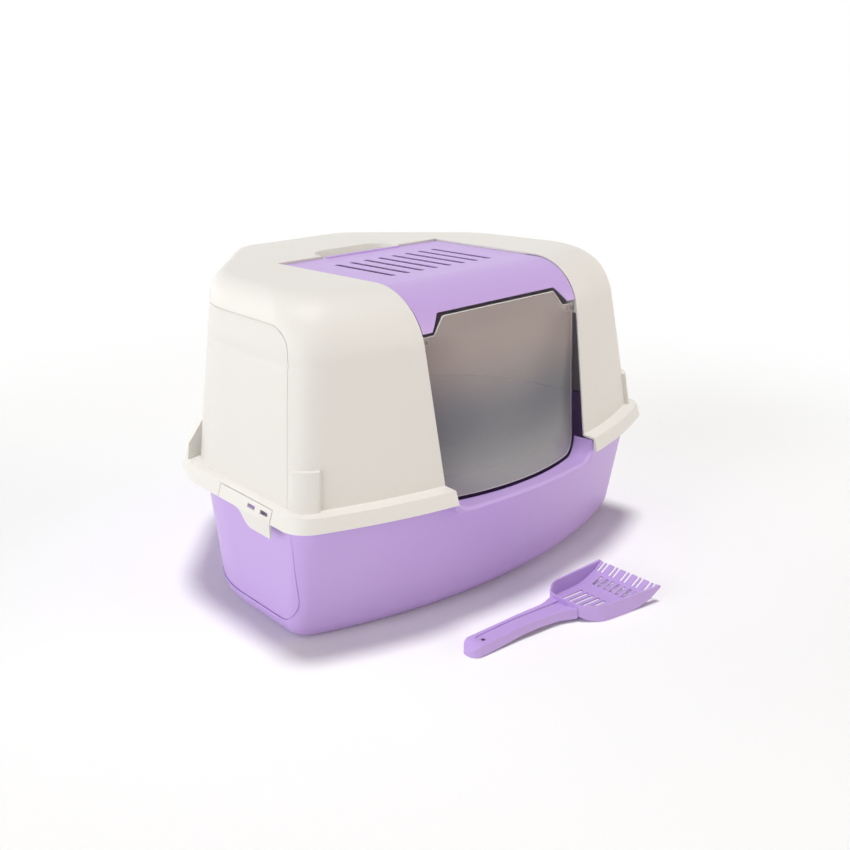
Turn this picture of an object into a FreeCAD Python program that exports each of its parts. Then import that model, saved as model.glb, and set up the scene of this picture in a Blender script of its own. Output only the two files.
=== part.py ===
import FreeCAD, Part
import math
import os

Vec = FreeCAD.Vector
turn_axis = Vec(0, 0, 1)
right_and_left = (1, -1)

# One overrun for every cut that has to leave the material
overrun = 20.0

# Footprint, taken at the lower edge of the hood's skirt
skirt_front_y = -256.0
skirt_rear_y = 256.0
skirt_half_width = 302.4
side_taper_share = 0.1
diagonal_reach = 261.6
bow_radius = 740.0
front_corner_radius = 34.0
side_corner_radius = 180.0
rear_corner_radius = 130.0
outer_reach = skirt_half_width + skirt_rear_y

# Hood shell
hood_wall = 2.6
skirt_bottom = 151.0
skirt_top = 168.0
skirt_lean = 5.0
ledge_level = 169.5
roof_level = 392.0
foot_front_inset = 22.0
foot_side_inset = 14.0
foot_back_inset = 22.0
front_lean_share = 0.148
side_lean_share = 0.123
back_lean_share = 0.13
front_rounding = 75.0
side_rounding = 38.0
back_rounding = 15.0
foot_corner_radius = 30.0
roof_corner_radius = 52.0
corner_tuck = 80.0
rounding_shares = (0.0, 0.1, 0.2, 0.32, 0.44, 0.56, 0.68, 0.8, 0.9, 1.0)

# Bosses on the hood's upright corners, square at the front and sloped at the rear
boss_top = 213.5
front_boss_proud = 5.5
front_boss_x = 293.0
front_boss_y = -170.5
front_boss_width = 29.0
front_boss_turn = 51.5
boss_shoulder = 188.0
boss_sink = 0.6
side_boss_proud = 15.0
side_boss_x = 225.0
side_boss_low_y = 66.0
side_boss_high_y = 122.0

# Shallow framed field on each side of the hood and of the tray, with a fine groove along its frame
field_depth = 0.8
groove_width = 1.4
groove_depth = 0.8
field_rear_y = 150.0
field_corner_radius = 34.0
hood_field = ((-151.2, ledge_level), (-129.0, 362.0))
tray_field = ((-153.0, 25.0), (-153.0, 158.0))

# Door and roof opening, which widens a little from the sill upwards
sill_level = 165.0
sill_half_width = 130.0
opening_taper_share = 0.0486
opening_rear_y = 56.3
panel_gap = 1.3

# Roof panel
panel_recess = 3.0
panel_top = roof_level - panel_recess
panel_thick = 2.5
panel_bend_y = -126.0
panel_bend_radius = 72.0
ear_bottom = 342.0
ear_inner_half = 122.0
notch_top = 360.4
notch_half = 105.1
slot_count = 8
slot_pitch = 24.3
slot_width = 8.0
slot_front_y = -95.0
slot_rear_y = 10.0
slot_thick = 1.5
slot_margin = 3.0
lip_half_width = 64.0
lip_depth = 5.0
lip_rise = 2.2

# Seat for the roof panel
seat_width = 10.0
seat_front_y = -108.0
seat_rear_depth = 9.0

# Finger pocket behind the roof panel
pocket_front_y = 41.0
pocket_rear_y = 93.0
pocket_half_width = 68.0
pocket_corner = 34.0
pocket_floor = 372.0
pocket_slope = 9.0

# Pivots of the roof panel and the flap, both in one lug on each jamb
pin_radius = 2.5
pin_clearance = 0.1
panel_pivot_y = -183.5
panel_pivot_z = 349.0
flap_pivot_y = -186.5
flap_pivot_z = 330.0
lug_inner_x = 140.5
lug_thick = 3.5
lug_margin = 6.5
pin_boss_end = 138.2
panel_boss_radius = 5.0
panel_boss_start = 131.5
flap_boss_radius = 3.8
flap_boss_start = 124.0

# Swinging flap
flap_thick = 2.0
flap_top = 357.2
flap_top_y = -188.0
flap_shoulder = 337.5
flap_bottom = 146.0
flap_bottom_y = -230.5
flap_bow_radius = 360.0
flap_side_gap = 1.9
flap_shoulder_inner = 116.5
flap_tongue_half = 100.0
flap_bottom_half = 125.5
flap_corner = 25.0
tongue_corner = 5.0

# Tray
tray_wall = 2.8
seat_clearance = 0.35
tray_top = skirt_top - hood_wall - seat_clearance
tray_insets = (18.0, 16.0, 27.0)
tray_lean_shares = (0.197, 0.03, 0.15)
tray_rounding = 28.0
tray_corner_top = 28.0
tray_corner_bottom = 22.0
tray_tuck = 30.0
rim_inset = 8.8
rim_thick = 2.4
rim_drop = 10.0

# Ribs under the hood's ledge that sit on the tray's rim
rest_insets = (10.0, 15.5)
rest_length = 15.0
rest_bite = 0.3
side_rest_starts = (-165.0, 10.0)
rear_rest_x = 60.0

# Dipped sill of the tray in the doorway
dip_level = 142.0
dip_half_width = 128.5
dip_corner = 24.0
dip_depth = 90.0
band_bottom = 136.5
band_inset = 6.0
band_inner_inset = 25.0
band_inner_radius = 360.0
band_half_width = 129.3
band_roll = 4.0
band_corner = 9.0

# Side latches
latch_front = -135.0
latch_rear = -26.0
latch_slit = 0.9
latch_thick = 2.6
latch_top = 166.4
latch_tongue = 134.0
latch_step_front = -88.5
latch_step_rear = -70.5
latch_step_radius = 24.0
latch_notch_top = 167.0
latch_notch_depth = 9.0
latch_axis_in = 5.6
latch_axis_z = 164.4
latch_bead_radius = 1.5
latch_pin_radius = 1.0
latch_pin_length = 3.5
latch_boss_length = 6.0
latch_boss_inner = 8.2
latch_boss_low = 161.6
latch_hole_clearance = 0.1
latch_hook_gap = 0.35
latch_hook_low = 150.0
latch_hook_high = 154.8
latch_hook_length = 36.0
latch_window_length = 15.0
latch_window_low = 156.4
latch_window_high = 161.0
latch_window_starts = (-128.0, -102.0)

# Filter and its holder under the roof panel
holder_half_width = 96.0
holder_front_y = -100.0
holder_rear_y = 15.0
holder_wall = 1.8
holder_depth = 13.5
holder_flange = 4.0
holder_flange_thick = 2.0
holder_gap = 0.4
rail_thick = 2.0
rail_lip = 3.0
filter_gap = 0.5
filter_thick = 9.0
grille_slot_count = 7
grille_slot_pitch = 26.0
grille_slot_width = 12.0
grille_margin = 12.0

# Scoop lying in front of the doorway, drawn along its own length
scoop_x = -176.0
scoop_y = -300.5
scoop_turn = -5.6
scoop_length = 272.0
scoop_wall = 2.0
scoop_height = 21.0
neck_at = 153.0
neck_half_width = 15.0

# Bowl, with its outlines as shares of its length and of its half width or height
bowl_length = scoop_length - neck_at
bowl_half_width = 50.0
bowl_side_shares = ((0.0, 0.3), (0.042, 0.54), (0.21, 0.86), (1.0, 1.0))
bowl_side_radii = (0.0, 6.0, 34.0, 0.0)
bowl_foot_shares = ((-0.025, 0.43), (0.126, 0.0), (0.63, 0.0), (0.85, 0.333), (1.0, 0.857))
bowl_foot_radii = (0.0, 26.0, 70.0, 60.0, 0.0)
long_slot_shares = (0.26, 0.546)
short_slot_shares = (0.706, 0.85)
comb_start_share = 0.89
bowl_slot_count = 7
bowl_slot_pitch = 9.4
bowl_slot_width = 4.4
comb_slit_width = 3.2
comb_slit_pitch = 6.4
comb_group_pitch = 18.8
comb_group_count = 5

# Handle, with its side view as shares of its length and height
handle_height = 17.5
handle_top_shares = ((0.0, 0.4), (0.059, 0.8), (0.523, 1.0), (1.033, 0.914))
handle_top_radii = (4.0, 16.0, 400.0, 0.0)
handle_foot_shares = ((1.033, 0.2), (0.6, 0.36), (0.25, 0.12), (0.0, 0.0))
handle_foot_radii = (0.0, 200.0, 120.0, 0.0)
handle_side_shares = ((0.0, 0.9), (0.45, 0.8), (0.87, 0.95), (1.013, 1.5))
handle_side_radii = (12.0, 160.0, 60.0, 0.0)
handle_solid_end = 11.0
trough_start = 16.0
trough_half_width = 8.0
trough_depth = 2.2
trough_corner = 6.0
hang_hole_at = 24.0
hang_hole_radius = 2.6


def box(low, high):
    """Block between two opposite corners."""
    size = high - low
    return Part.makeBox(size.x, size.y, size.z, low)


def bar(radius, length, start, direction):
    """Round bar from a point along a direction."""
    return Part.makeCylinder(radius, length, start, direction)


def mirrored(shape):
    """The same shape on the other side of the middle plane."""
    return shape.mirror(Vec(0, 0, 0), Vec(1, 0, 0))


def both_sides(shapes):
    """Shapes on the right together with their copies on the left."""
    return shapes + [mirrored(shape) for shape in shapes]


def across(point):
    """The same point on the other side of the middle plane."""
    return Vec(-point.x, point.y, point.z)


def prism(points, way):
    """Straight-sided outline pushed along a direction."""
    return Part.Face(Part.makePolygon(points + points[:1])).extrude(way)


def rounded_prism(points, radii, way):
    """Outline with rounded corners pushed along a direction."""
    edges = []
    ends = []
    count = len(points)
    for i in range(count):
        corner = points[i]
        back = (points[i - 1] - corner).normalize()
        onward = (points[(i + 1) % count] - corner).normalize()
        half = back.getAngle(onward) / 2
        if radii[i]:
            reach = radii[i] / math.tan(half)
            middle = (back + onward).normalize() * (radii[i] / math.sin(half) - radii[i])
            ends.append((corner + back * reach, corner + onward * reach))
            edges.append(Part.Arc(ends[-1][0], corner + middle, ends[-1][1]).toShape())
        else:
            ends.append((corner, corner))
    for i in range(count):
        edges.append(Part.makeLine(ends[i - 1][1], ends[i][0]))
    return Part.Face(Part.Wire(Part.__sortEdges__(edges))).extrude(way)


def line_corner(first, second, radius):
    """Start, middle and end of the rounding between two straight sides."""
    first_out, first_reach = first
    second_out, second_reach = second
    spread = first_out.x * second_out.y - first_out.y * second_out.x
    near = first_reach - radius
    far = second_reach - radius
    x = (near * second_out.y - far * first_out.y) / spread
    y = (far * first_out.x - near * second_out.x) / spread
    centre = Vec(x, y, 0)
    middle = (first_out + second_out).normalize()
    return [centre + out * radius for out in (first_out, middle, second_out)]


def bow_corner(bow, side, radius):
    """Start, middle and end of the rounding between the bowed front and a side."""
    out, reach = side
    along = Vec(-out.y, out.x, 0)
    offset = out * (reach - radius) - bow
    half = offset.dot(along)
    run = -half - math.sqrt(half ** 2 - offset.dot(offset) + (bow_radius - radius) ** 2)
    centre = bow + offset + along * run
    bow_out = (centre - bow).normalize()
    middle = (bow_out + out).normalize()
    return [centre + way * radius for way in (bow_out, middle, out)]


def ring(level, front, side, back, front_corner, tuck):
    """Closed plan outline at one level, set in from the skirt line."""
    bow = Vec(0, skirt_front_y + front + bow_radius, 0)
    apex = bow - Vec(0, bow_radius, 0)
    slant = math.hypot(1, side_taper_share)
    side_line = (Vec(1, side_taper_share, 0) / slant, (skirt_half_width - side) / slant)
    diagonal_line = (Vec(1, 1, 0).normalize(), diagonal_reach - back)
    rear_line = (Vec(0, 1, 0), skirt_rear_y - back)
    turns = [
        bow_corner(bow, side_line, front_corner),
        line_corner(side_line, diagonal_line, side_corner_radius - tuck),
        line_corner(diagonal_line, rear_line, rear_corner_radius - tuck),
    ]
    left = [[across(p) for p in reversed(turn)] for turn in reversed(turns)]
    walk = turns + left
    edges = [Part.Arc(left[-1][-1], apex, turns[0][0]).toShape()]
    for i, turn in enumerate(walk):
        edges.append(Part.Arc(*turn).toShape())
        if turn is not walk[-1]:
            edges.append(Part.makeLine(turn[-1], walk[i + 1][0]))
    outline = Part.Wire(edges)
    outline.translate(Vec(0, 0, level))
    return outline


def lean_in(height, total, lean_share, radius):
    """Inward lean of a wall at a height, with its far end rounded into a flat."""
    angle = math.atan(lean_share)
    straight = total - radius + radius * math.sin(angle)
    if height <= straight:
        return height * lean_share
    centre = straight * lean_share + radius * math.cos(angle)
    rise = min(height - total + radius, radius)
    return centre - math.sqrt(radius ** 2 - rise ** 2)


def hood_ring(level, inset):
    """Plan outline of the hood wall at a level, thinned by an inset."""
    height = level - ledge_level
    total = roof_level - ledge_level - inset
    share = max(0, height / total)
    front = lean_in(height, total, front_lean_share, front_rounding - inset)
    side = lean_in(height, total, side_lean_share, side_rounding - inset)
    back = lean_in(height, total, back_lean_share, back_rounding - inset)
    corner = foot_corner_radius + (roof_corner_radius - foot_corner_radius) * share
    return ring(
        level,
        foot_front_inset + front + inset,
        foot_side_inset + side + inset,
        foot_back_inset + back + inset,
        corner - inset,
        corner_tuck * share + inset,
    )


def hood_body(inset):
    """Solid hood shape, thinned by an inset, with its skirt."""
    shoulder = roof_level - front_rounding
    lowest = skirt_bottom - overrun if inset else skirt_bottom
    lean = skirt_lean + inset
    corner = front_corner_radius - inset
    low = Part.makeLoft(
        [
            ring(lowest, inset, inset, inset, corner, inset),
            ring(skirt_top - inset, lean, lean, lean, corner, inset),
            hood_ring(ledge_level - inset, inset),
            hood_ring(shoulder, inset),
        ],
        True,
        True,
    )
    reach = front_rounding - inset
    levels = [shoulder + reach * math.sin(math.pi / 2 * share) for share in rounding_shares]
    high = Part.makeLoft([hood_ring(level, inset) for level in levels], True, False)
    return low.fuse(high)


def opening_prism(gap, low, high, rear):
    """Doorway and roof window as one wedge, made smaller by a gap."""
    points = []
    for level, sides in ((low, right_and_left), (high, right_and_left[::-1])):
        half = sill_half_width + (level - sill_level) * opening_taper_share - gap
        points += [Vec(side * half, skirt_front_y - overrun, level) for side in sides]
    return prism(points, Vec(0, rear - skirt_front_y + overrun, 0))


def front_boss():
    """Square boss that wraps the right front corner above the ledge."""
    levels = (ledge_level - hood_wall / 2, boss_top)
    skin = Part.makeLoft([hood_ring(level, -front_boss_proud) for level in levels], True, True)
    half = front_boss_width / 2
    window = box(Vec(-half, -outer_reach, 0), Vec(half, half, outer_reach))
    window.rotate(Vec(0, 0, 0), turn_axis, front_boss_turn)
    window.translate(Vec(front_boss_x, front_boss_y, 0))
    return skin.common(window)


def side_boss():
    """Sloped boss on the right side corner above the ledge."""
    wedge = Part.makeLoft(
        [
            hood_ring(ledge_level - hood_wall / 2, -side_boss_proud),
            hood_ring(boss_shoulder, -side_boss_proud),
            hood_ring(boss_top, boss_sink),
        ],
        True,
        True,
    )
    low = Vec(side_boss_x, side_boss_low_y, 0)
    return wedge.common(box(low, Vec(outer_reach, side_boss_high_y, outer_reach)))


def side_field(front_edge, foot_radius, inset):
    """Outline through both sides for the framed field, thinned by an inset except at a square foot."""
    start = -outer_reach
    (low_y, low_z), (high_y, high_z) = front_edge
    foot = low_z + inset if foot_radius else low_z - inset
    foot_round = foot_radius - inset if foot_radius else 0
    top_round = field_corner_radius - inset
    rear = field_rear_y - inset
    corners = [
        Vec(start, low_y + inset, foot),
        Vec(start, rear, foot),
        Vec(start, rear, high_z - inset),
        Vec(start, high_y + inset, high_z - inset),
    ]
    radii = [foot_round, foot_round, top_round, top_round]
    return rounded_prism(corners, radii, Vec(2 * outer_reach, 0, 0))


def framed_field(body, front_edge, foot_radius):
    """Space of the framed side field of a body, with the fine groove along its frame."""
    solid = body(0)
    outline = side_field(front_edge, foot_radius, 0)
    rim = outline.cut(side_field(front_edge, foot_radius, groove_width))
    groove = solid.cut(body(field_depth + groove_depth)).common(rim)
    return solid.cut(body(field_depth)).common(outline).fuse(groove)


def panel_seat():
    """Rails and rear shelf that the roof panel lies on."""
    top = panel_top - panel_thick
    low = top - hood_wall
    edge = sill_half_width + (roof_level - sill_level) * opening_taper_share
    wall = edge + hood_wall
    rear = opening_rear_y + hood_wall
    roof_skin = roof_level - hood_wall / 2
    shelf_y = opening_rear_y - seat_rear_depth
    rail = box(Vec(edge - seat_width, seat_front_y, low), Vec(wall, rear, top))
    upright = box(Vec(edge, seat_front_y, low), Vec(wall, rear, roof_skin))
    shelf = box(Vec(-wall, shelf_y, low), Vec(wall, rear, top))
    back = box(Vec(-wall, opening_rear_y, low), Vec(wall, rear, roof_skin))
    return both_sides([rail, upright]) + [shelf, back]


def pocket(grow, floor, ceiling):
    """Finger pocket with sloped sides, grown by a wall."""
    rings = []
    for level, slope in ((floor, pocket_slope), (ceiling, 0)):
        half = pocket_half_width - slope + grow
        rear = pocket_rear_y - slope + grow
        front = pocket_front_y - grow
        bend = pocket_corner - slope + grow
        turn = Vec(half - bend, rear - bend, level)
        diagonal = bend * math.sqrt(0.5)
        side_end = Vec(half, rear - bend, level)
        rear_end = Vec(half - bend, rear, level)
        arc_middle = turn + Vec(diagonal, diagonal, 0)
        start = Vec(half, front, level)
        rings.append(Part.Wire([
            Part.makeLine(across(start), start),
            Part.makeLine(start, side_end),
            Part.Arc(side_end, arc_middle, rear_end).toShape(),
            Part.makeLine(rear_end, across(rear_end)),
            Part.Arc(across(rear_end), across(arc_middle), across(side_end)).toShape(),
            Part.makeLine(across(side_end), across(start)),
        ]))
    return Part.makeLoft(rings, True, True)


def pivot_lug():
    """Plate on the right jamb that carries the panel pin and the flap pin."""
    low_y = flap_pivot_y - overrun
    high_y = panel_pivot_y + lug_margin
    low_z = flap_pivot_z - lug_margin
    high_z = panel_pivot_z + lug_margin
    return box(Vec(lug_inner_x, low_y, low_z), Vec(lug_inner_x + lug_thick, high_y, high_z))


def pivot_holes():
    """Holes of the right lug."""
    holes = []
    for y, z in ((panel_pivot_y, panel_pivot_z), (flap_pivot_y, flap_pivot_z)):
        start = Vec(lug_inner_x - lug_thick, y, z)
        holes.append(bar(pin_radius + pin_clearance, 3 * lug_thick, start, Vec(1, 0, 0)))
    return holes


def to_side(shape):
    """Place a shape drawn against a straight side onto the right side of the skirt."""
    angle = math.degrees(math.atan(side_taper_share))
    shape.rotate(Vec(0, 0, 0), turn_axis, angle)
    shape.translate(Vec(skirt_half_width, 0, 0))
    return shape


def latch_notch():
    """Space in the skirt for one latch, with its two slits."""
    low = Vec(-latch_notch_depth, latch_front - latch_slit, skirt_bottom - overrun)
    return to_side(box(low, Vec(overrun, latch_rear + latch_slit, latch_notch_top)))


def latch_pin_bosses():
    """Blocks in the skirt at both ends of the latch bead."""
    blocks = []
    for start in (latch_front - latch_slit - latch_boss_length, latch_rear + latch_slit):
        low = Vec(-latch_boss_inner, start, latch_boss_low)
        high = Vec(-latch_axis_in, start + latch_boss_length, latch_notch_top)
        blocks.append(to_side(box(low, high)))
    return blocks


def latch_bead(radius, spare):
    """Round bead on the latch axis, longer than the latch by a spare length."""
    start = Vec(-latch_axis_in, latch_front - spare, latch_axis_z)
    return to_side(bar(radius, latch_rear - latch_front + 2 * spare, start, Vec(0, 1, 0)))


def rim_rests():
    """Ribs of the right half that sit on the tray's rim."""
    outer, inner = rest_insets
    top = ledge_level - hood_wall + rest_bite
    rests = []
    for start in side_rest_starts:
        rests.append(to_side(box(Vec(-inner, start, tray_top), Vec(-outer, start + rest_length, top))))
    low = Vec(rear_rest_x, skirt_rear_y - inner, tray_top)
    rests.append(box(low, Vec(rear_rest_x + rest_length, skirt_rear_y - outer, top)))
    return rests


def hood_shell():
    """Walls of the hood with the side fields and the corner bosses."""
    solid = hood_body(0)
    hollow = hood_body(hood_wall)
    field = framed_field(hood_body, hood_field, 0)
    bosses = [boss.cut(hollow) for boss in (front_boss(), side_boss())]
    return solid.cut(hollow).cut(field).fuse(both_sides(bosses))


def make_hood():
    """Hood with doorway, roof window, finger pocket, pivot lugs and latch seats."""
    highest = roof_level + overrun
    hood = hood_shell().cut(opening_prism(0, skirt_bottom - overrun, highest, opening_rear_y))
    hood = hood.fuse(panel_seat())
    pocket_skin = pocket(hood_wall, pocket_floor - hood_wall, roof_level - hood_wall / 2)
    hood = hood.fuse(pocket_skin).cut(pocket(0, pocket_floor, roof_level))
    hood = hood.cut(opening_prism(0, panel_top - panel_thick, highest, opening_rear_y))
    hood = hood.cut(both_sides([latch_notch()]))
    lug = pivot_lug().common(hood_body(hood_wall / 2))
    hood = hood.fuse(both_sides([lug] + latch_pin_bosses() + rim_rests()))
    pin_hole = latch_bead(latch_pin_radius + latch_hole_clearance, latch_slit + latch_boss_length)
    return hood.cut(both_sides(pivot_holes() + [pin_hole]))


def tray_ring(level, inset):
    """Plan outline of the tray wall at a level, thinned by an inset."""
    depth = tray_top - level
    total = tray_top - inset
    radius = tray_rounding - inset
    share = depth / tray_top
    insets = [
        start + inset + lean_in(depth, total, lean_share, radius)
        for start, lean_share in zip(tray_insets, tray_lean_shares)
    ]
    corner = tray_corner_top + (tray_corner_bottom - tray_corner_top) * share - inset
    return ring(level, *insets, corner, tray_tuck * share + inset)


def tray_body(inset):
    """Solid tray shape, thinned by an inset and closed at its floor."""
    radius = tray_rounding - inset
    shoulder = inset + radius
    highest = tray_top + overrun if inset else tray_top
    wall = Part.makeLoft([tray_ring(shoulder, inset), tray_ring(highest, inset)], True, True)
    levels = [shoulder - radius * math.sin(math.pi / 2 * share) for share in rounding_shares]
    foot = Part.makeLoft([tray_ring(level, inset) for level in reversed(levels)], True, False)
    return wall.fuse(foot)


def rim_ring(level, inset):
    """Plan outline of the tray's rim."""
    return ring(level, inset, inset, inset, front_corner_radius - inset, inset)


def rim_solid(inset, low, high):
    """Upright solid inside one rim outline."""
    return Part.makeLoft([rim_ring(low, inset), rim_ring(high, inset)], True, True)


def sill_band():
    """Rolled band across the doorway, bowed more on its inner edge."""
    outer_y = skirt_front_y + band_inset
    inner_y = skirt_front_y + band_inner_inset
    half = band_half_width + overrun
    outer_end_y = outer_y + bow_radius - math.sqrt(bow_radius ** 2 - half ** 2)
    inner_end_y = inner_y + band_inner_radius - math.sqrt(band_inner_radius ** 2 - half ** 2)
    outer_end = Vec(half, outer_end_y, band_bottom)
    inner_end = Vec(half, inner_end_y, band_bottom)
    outline = Part.Wire([
        Part.Arc(across(outer_end), Vec(0, outer_y, band_bottom), outer_end).toShape(),
        Part.makeLine(outer_end, inner_end),
        Part.Arc(inner_end, Vec(0, inner_y, band_bottom), across(inner_end)).toShape(),
        Part.makeLine(across(inner_end), across(outer_end)),
    ])
    return Part.Face(outline).extrude(Vec(0, 0, tray_top - band_bottom))


def band_front_view():
    """Front view of the sill band with rounded lower corners."""
    front = skirt_front_y - overrun
    top = tray_top
    corners = [
        Vec(-band_half_width, front, band_bottom),
        Vec(band_half_width, front, band_bottom),
        Vec(band_half_width, front, top),
        Vec(-band_half_width, front, top),
    ]
    return rounded_prism(corners, [band_corner, band_corner, 0, 0], Vec(0, dip_depth, 0))


def sill_dip():
    """Space above the sill with rounded lower corners."""
    front = skirt_front_y - overrun
    top = tray_top + overrun
    corners = [
        Vec(-dip_half_width, front, dip_level),
        Vec(dip_half_width, front, dip_level),
        Vec(dip_half_width, front, top),
        Vec(-dip_half_width, front, top),
    ]
    return rounded_prism(corners, [dip_corner, dip_corner, 0, 0], Vec(0, dip_depth, 0))


def outer_sill_edges(shape):
    """Edges along the outer top of the sill."""
    lowest = dip_level - band_roll / 2
    limit = skirt_front_y + band_inset + band_roll
    chosen = []
    for edge in shape.Edges:
        room = edge.BoundBox
        if room.ZMin > lowest and room.YMin < limit and room.XLength > dip_corner:
            chosen.append(edge)
    return chosen


def make_tray():
    """Tray with rolled rim and a dipped, rolled sill in the doorway."""
    solid = tray_body(0)
    hollow = tray_body(tray_wall)
    field = framed_field(tray_body, tray_field, field_corner_radius)
    tray = solid.cut(hollow).cut(field)
    flange = rim_solid(rim_inset, tray_top - rim_thick, tray_top)
    lip = rim_solid(rim_inset, tray_top - rim_drop, tray_top)
    lip = lip.cut(rim_solid(rim_inset + rim_thick, tray_top - rim_drop - overrun, tray_top + overrun))
    tray = tray.fuse([flange.cut(hollow), lip])
    band = sill_band().common(band_front_view()).cut(sill_dip())
    band = band.makeFillet(band_roll, outer_sill_edges(band))
    return tray.cut(sill_dip()).fuse(band)


def slot(width, front, rear, x, low, high):
    """Long slot with round ends, upright through a plate."""
    radius = width / 2
    height = high - low
    middle = box(Vec(x - radius, front + radius, low), Vec(x + radius, rear - radius, high))
    ends = [bar(radius, height, Vec(x, y, low), turn_axis) for y in (front + radius, rear - radius)]
    return middle.fuse(ends)


def spread(count, pitch):
    """Evenly spaced places about the middle."""
    return [(i - (count - 1) / 2) * pitch for i in range(count)]


def panel_space():
    """Room inside the opening that the roof panel may fill."""
    return opening_prism(panel_gap, ear_bottom - overrun, roof_level + overrun, opening_rear_y)


def panel_sheet():
    """Bent sheet of the roof panel, from its rear edge down to the ears."""
    half = lug_inner_x
    rear = opening_rear_y - panel_gap
    centre = Vec(-half, panel_bend_y, panel_top - panel_bend_radius)
    rise = ear_bottom - centre.z
    runs = []
    for radius in (panel_bend_radius, panel_bend_radius - panel_thick):
        end = math.pi - math.asin(rise / radius)
        angles = (math.pi / 2, (math.pi / 2 + end) / 2, end)
        spots = [centre + Vec(0, math.cos(angle), math.sin(angle)) * radius for angle in angles]
        runs.append([Vec(-half, rear, centre.z + radius)] + spots)
    outer, inner = runs
    outline = Part.Wire([
        Part.makeLine(outer[0], outer[1]),
        Part.Arc(*outer[1:]).toShape(),
        Part.makeLine(outer[3], inner[3]),
        Part.Arc(*reversed(inner[1:])).toShape(),
        Part.makeLine(inner[1], inner[0]),
        Part.makeLine(inner[0], outer[0]),
    ])
    sheet = Part.Face(outline).extrude(Vec(2 * half, 0, 0))
    return sheet.common(panel_space())


def panel_notch():
    """Cut-out above the flap between the two ears."""
    slope = (ear_inner_half - notch_half) / (notch_top - ear_bottom)
    low_half = ear_inner_half + overrun * slope
    low = ear_bottom - overrun
    front = skirt_front_y - overrun
    corners = [
        Vec(-low_half, front, low),
        Vec(low_half, front, low),
        Vec(notch_half, front, notch_top),
        Vec(-notch_half, front, notch_top),
    ]
    depth = panel_bend_y - front
    return rounded_prism(corners, [0, 0, tongue_corner, tongue_corner], Vec(0, depth, 0))


def panel_pivot():
    """Right pin of the roof panel with the boss and web that join it to the ear."""
    way = Vec(1, 0, 0)
    start = Vec(panel_boss_start, panel_pivot_y, panel_pivot_z)
    boss = bar(panel_boss_radius, pin_boss_end - panel_boss_start, start, way)
    low = Vec(panel_boss_start, panel_pivot_y - overrun, panel_pivot_z - panel_boss_radius)
    high = Vec(pin_boss_end, panel_pivot_y, panel_pivot_z + panel_boss_radius)
    bend_start = Vec(0, panel_bend_y, panel_top - panel_bend_radius)
    bend = bar(panel_bend_radius - panel_thick / 2, lug_inner_x, bend_start, way)
    web = box(low, high).common(bend)
    pin_start = (panel_boss_start + pin_boss_end) / 2
    pin_length = lug_inner_x + lug_thick - pin_start
    pin = bar(pin_radius, pin_length, Vec(pin_start, panel_pivot_y, panel_pivot_z), way)
    return [boss.fuse(web).common(panel_space()), pin]


def holder_rail():
    """Right rail under the roof panel that the filter holder slides in."""
    under = panel_top - panel_thick
    inner = holder_half_width + holder_flange + holder_gap
    low = under - holder_flange_thick - 2 * holder_gap - rail_thick
    upright = box(Vec(inner, holder_front_y, low), Vec(inner + rail_thick, holder_rear_y, under))
    lip = box(Vec(inner - rail_lip, holder_front_y, low), Vec(inner, holder_rear_y, low + rail_thick))
    return upright.fuse(lip)


def make_panel():
    """Roof panel with vent slots, finger lip, ears, pins and holder rails."""
    low = panel_top - panel_thick - overrun
    high = panel_top + overrun
    places = spread(slot_count, slot_pitch)
    slots = [slot(slot_width, slot_front_y, slot_rear_y, x, low, high) for x in places]
    half = places[-1] + slot_width / 2 + slot_margin
    thin_low = Vec(-half, slot_front_y - slot_margin, low)
    thinning = box(thin_low, Vec(half, slot_rear_y + slot_margin, panel_top - slot_thick))
    panel = panel_sheet().cut(panel_notch()).cut(slots + [thinning])
    rear = opening_rear_y - panel_gap
    lip_low = Vec(-lip_half_width, rear - lip_depth, panel_top - panel_thick / 2)
    lip = box(lip_low, Vec(lip_half_width, rear, panel_top + lip_rise))
    lip = lip.makeFillet(lip_rise / 2, [edge for edge in lip.Edges if edge.BoundBox.ZMin > panel_top])
    return panel.fuse([lip] + both_sides([holder_rail()] + panel_pivot()))


def make_holder():
    """Shallow filter holder with a slotted floor and side flanges that lie on the rails."""
    top = panel_top - panel_thick - 2 * holder_gap
    low = top - holder_depth
    outer = box(Vec(-holder_half_width, holder_front_y, low), Vec(holder_half_width, holder_rear_y, top))
    half = holder_half_width - holder_wall
    front = holder_front_y + holder_wall
    rear = holder_rear_y - holder_wall
    inner = box(Vec(-half, front, low + holder_wall), Vec(half, rear, top + overrun))
    flange_half = holder_half_width + holder_flange
    flange_low = Vec(-flange_half, holder_front_y, top - holder_flange_thick)
    flange = box(flange_low, Vec(flange_half, holder_rear_y, top))
    slot_front = holder_front_y + grille_margin
    slot_rear = holder_rear_y - grille_margin
    places = spread(grille_slot_count, grille_slot_pitch)
    slots = [slot(grille_slot_width, slot_front, slot_rear, x, low - overrun, top) for x in places]
    return outer.fuse(flange).cut(inner).cut(slots)


def make_filter():
    """Charcoal pad that lies in the holder."""
    low = panel_top - panel_thick - 2 * holder_gap - holder_depth + holder_wall
    half = holder_half_width - holder_wall - filter_gap
    front = holder_front_y + holder_wall + filter_gap
    rear = holder_rear_y - holder_wall - filter_gap
    return box(Vec(-half, front, low), Vec(half, rear, low + filter_thick))


def flap_strip(level, front_y, sag):
    """Thin closed strip across the flap at one level, bowed forward by a sag."""
    half = sill_half_width + overrun
    front = [Vec(-half, front_y + sag, level), Vec(0, front_y, level), Vec(half, front_y + sag, level)]
    back = [point + Vec(0, flap_thick, 0) for point in reversed(front)]
    if sag:
        runs = [Part.Arc(*front).toShape(), Part.Arc(*back).toShape()]
    else:
        runs = [Part.makeLine(front[0], front[2]), Part.makeLine(back[0], back[2])]
    return Part.Wire([
        runs[0],
        Part.makeLine(front[2], back[0]),
        runs[1],
        Part.makeLine(back[2], front[0]),
    ])


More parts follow.
